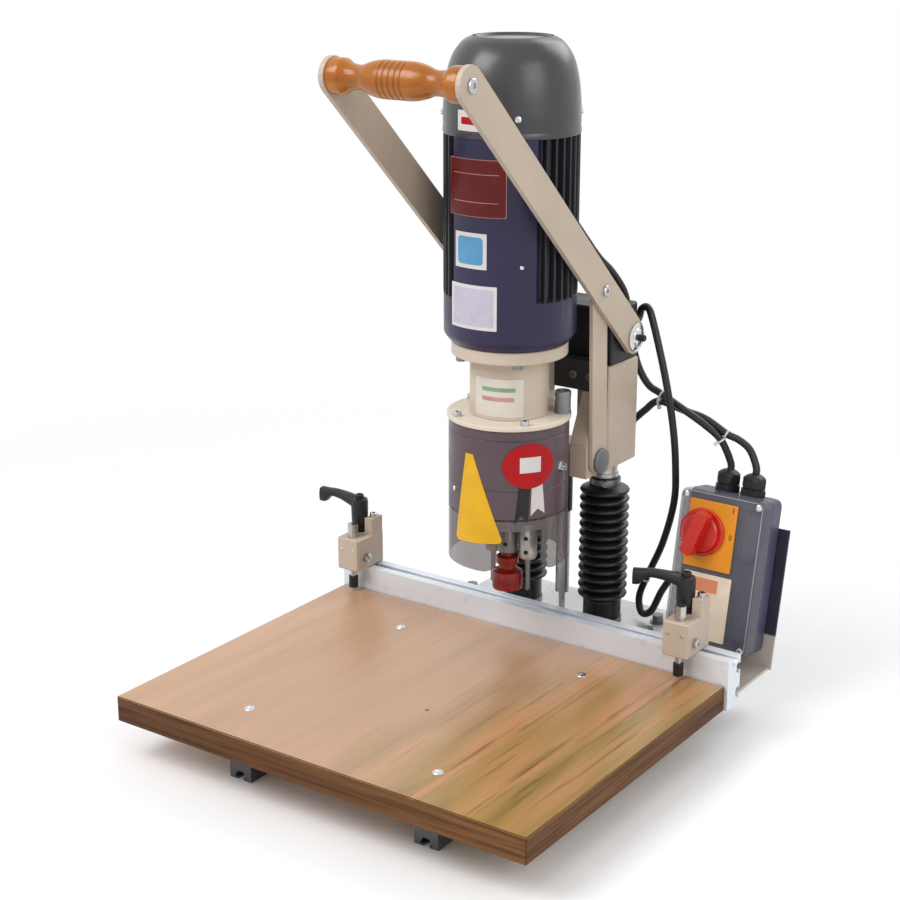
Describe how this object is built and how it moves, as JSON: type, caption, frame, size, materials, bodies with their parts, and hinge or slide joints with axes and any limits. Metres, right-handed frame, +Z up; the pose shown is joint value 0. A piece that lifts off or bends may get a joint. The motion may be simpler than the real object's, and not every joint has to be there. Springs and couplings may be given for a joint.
{
  "type": "hinge boring machine",
  "caption": "Bench boring head with a cup bit and two side bits, lowered by a twin-arm lever over a wooden board with a slotted fence, stops and a switch box.",
  "frame": {"origin": "middle of the machine's footprint, on the surface that its two rails stand on", "axes": "+Z up, +X to the right seen from the operator's side, +Y away from the operator"},
  "size_m": [0.589, 0.5904, 0.779],
  "materials": {
    "aluminium": "satin extrusion",
    "board": "laminated board with a wood grain",
    "steel": "turned or ground",
    "black_paint": "satin",
    "grey_paint": "satin",
    "cream_paint": "satin, slightly worn",
    "gearbox_paint": "semi-gloss",
    "motor_paint": "semi-gloss",
    "slate_paint": "gloss",
    "red_paint": "gloss",
    "copper": "enamelled wire",
    "rubber": "matte",
    "black_plastic": "fine texture",
    "red_plastic": "gloss",
    "yellow_plastic": "gloss",
    "smoke_lid": "clear smoky plastic",
    "clear_guard": "clear grey plastic",
    "handle_wood": "varnished turned wood"
  },
  "bodies": {
    "base": {"left_rail": "aluminium", "right_rail": "aluminium", "fence_rail": "aluminium", "work_board": "board", "base_plate": "steel", "left_column": "steel", "right_column": "steel", "top_beam": "black_paint", "left_lever_pin": "steel", "right_lever_pin": "steel", "spring_socket": "steel", "spring_rod": "steel", "left_bellows": "rubber", "right_bellows": "rubber", "switch_box_base": "black_plastic", "switch_box_lid": "smoke_lid", "switch_plate": "yellow_plastic", "left_gland": "black_plastic", "right_gland": "black_plastic", "box_bracket": "cream_paint", "motor_cable": "rubber", "sensor_cable": "rubber", "stop_cable": "rubber"},
    "head": {"left_slide_block": "cream_paint", "right_slide_block": "cream_paint", "cross_plate": "grey_paint", "carriage_tie": "cream_paint", "spring_tube": "black_paint", "bell_housing": "cream_paint", "gearbox_lid": "cream_paint", "gearbox_housing": "gearbox_paint", "chip_guard": "clear_guard", "motor_housing": "motor_paint", "stator_winding": "copper", "fan_cover": "slate_paint", "terminal_box": "grey_paint"},
    "drive": {"rotor": "steel", "cooling_fan": "black_plastic", "centre_spindle": "steel", "cup_bit": "red_paint"},
    "left_drive": {"left_spindle": "steel", "left_bit": "steel"},
    "right_drive": {"right_spindle": "steel", "right_bit": "steel"},
    "lever": {"left_arm": "cream_paint", "right_arm": "cream_paint", "handle_rod": "steel", "handle_grip": "handle_wood"},
    "links": {"left_link": "cream_paint", "right_link": "cream_paint"},
    "knob": {"switch_knob": "red_plastic"},
    "left_stop": {"left_stop_block": "cream_paint"},
    "left_pin": {"left_stop_pin": "steel", "left_pin_tip": "rubber"},
    "left_clamp": {"left_clamp_lever": "black_plastic"},
    "right_stop": {"right_stop_block": "cream_paint"},
    "right_pin": {"right_stop_pin": "steel", "right_pin_tip": "rubber"},
    "right_clamp": {"right_clamp_lever": "black_plastic"}
  },
  "joints": [
    {"name": "head_slide", "type": "slide", "parent": "base", "child": "head", "axis": [0, 0, -1], "range_m": [0, 0.0649], "stiffness_N_per_m": 1500, "springref_m": -0.4, "deforming": ["left_bellows", "right_bellows", "motor_cable", "sensor_cable"]},
    {"name": "lever_swing", "type": "hinge", "parent": "base", "child": "lever", "pos_m": [0.021, 0.21315, 0.432], "axis": [1, 0, 0], "range_deg": [0, 43.3]},
    {"name": "link_swing", "type": "hinge", "parent": "lever", "child": "links", "pos_m": [0.021, 0.14098, 0.49977], "axis": [1, 0, 0], "range_deg": [-35.7, 0]},
    {"name": "motor_spin", "type": "hinge", "parent": "head", "child": "drive", "pos_m": [0.021, 0.08015, 0.25], "axis": [0, 0, 1], "continuous": true},
    {"name": "left_spindle_spin", "type": "hinge", "parent": "head", "child": "left_drive", "pos_m": [-0.003, 0.08615, 0.25], "axis": [0, 0, 1], "continuous": true},
    {"name": "right_spindle_spin", "type": "hinge", "parent": "head", "child": "right_drive", "pos_m": [0.045, 0.08615, 0.25], "axis": [0, 0, 1], "continuous": true},
    {"name": "switch_turn", "type": "hinge", "parent": "base", "child": "knob", "pos_m": [0.205, 0.21629, 0.21148], "axis": [0, -0.9816, 0.1908], "range_deg": [0, 90]},
    {"name": "left_stop_slide", "type": "slide", "parent": "base", "child": "left_stop", "axis": [1, 0, 0], "range_m": [-0.008, 0.14]},
    {"name": "right_stop_slide", "type": "slide", "parent": "base", "child": "right_stop", "axis": [-1, 0, 0], "range_m": [-0.035, 0.075]},
    {"name": "left_pin_lift", "type": "slide", "parent": "left_stop", "child": "left_pin", "axis": [0, 0, 1], "range_m": [0, 0.01]},
    {"name": "right_pin_lift", "type": "slide", "parent": "right_stop", "child": "right_pin", "axis": [0, 0, 1], "range_m": [0, 0.01]},
    {"name": "left_clamp_turn", "type": "hinge", "parent": "left_stop", "child": "left_clamp", "pos_m": [-0.233, 0.12515, 0.1479], "axis": [0, 0, 1], "range_deg": [0, 90]},
    {"name": "right_clamp_turn", "type": "hinge", "parent": "right_stop", "child": "right_clamp", "pos_m": [0.232, 0.12515, 0.1479], "axis": [0, 0, 1], "range_deg": [0, 90]}
  ],
  "couplings": [
    {"joint": "lever_swing", "follows": "head_slide", "rad_per_m": 11.618},
    {"joint": "link_swing", "follows": "head_slide", "rad_per_m": -9.568},
    {"joint": "left_spindle_spin", "follows": "motor_spin", "ratio": -1},
    {"joint": "right_spindle_spin", "follows": "motor_spin", "ratio": -1}
  ]
}
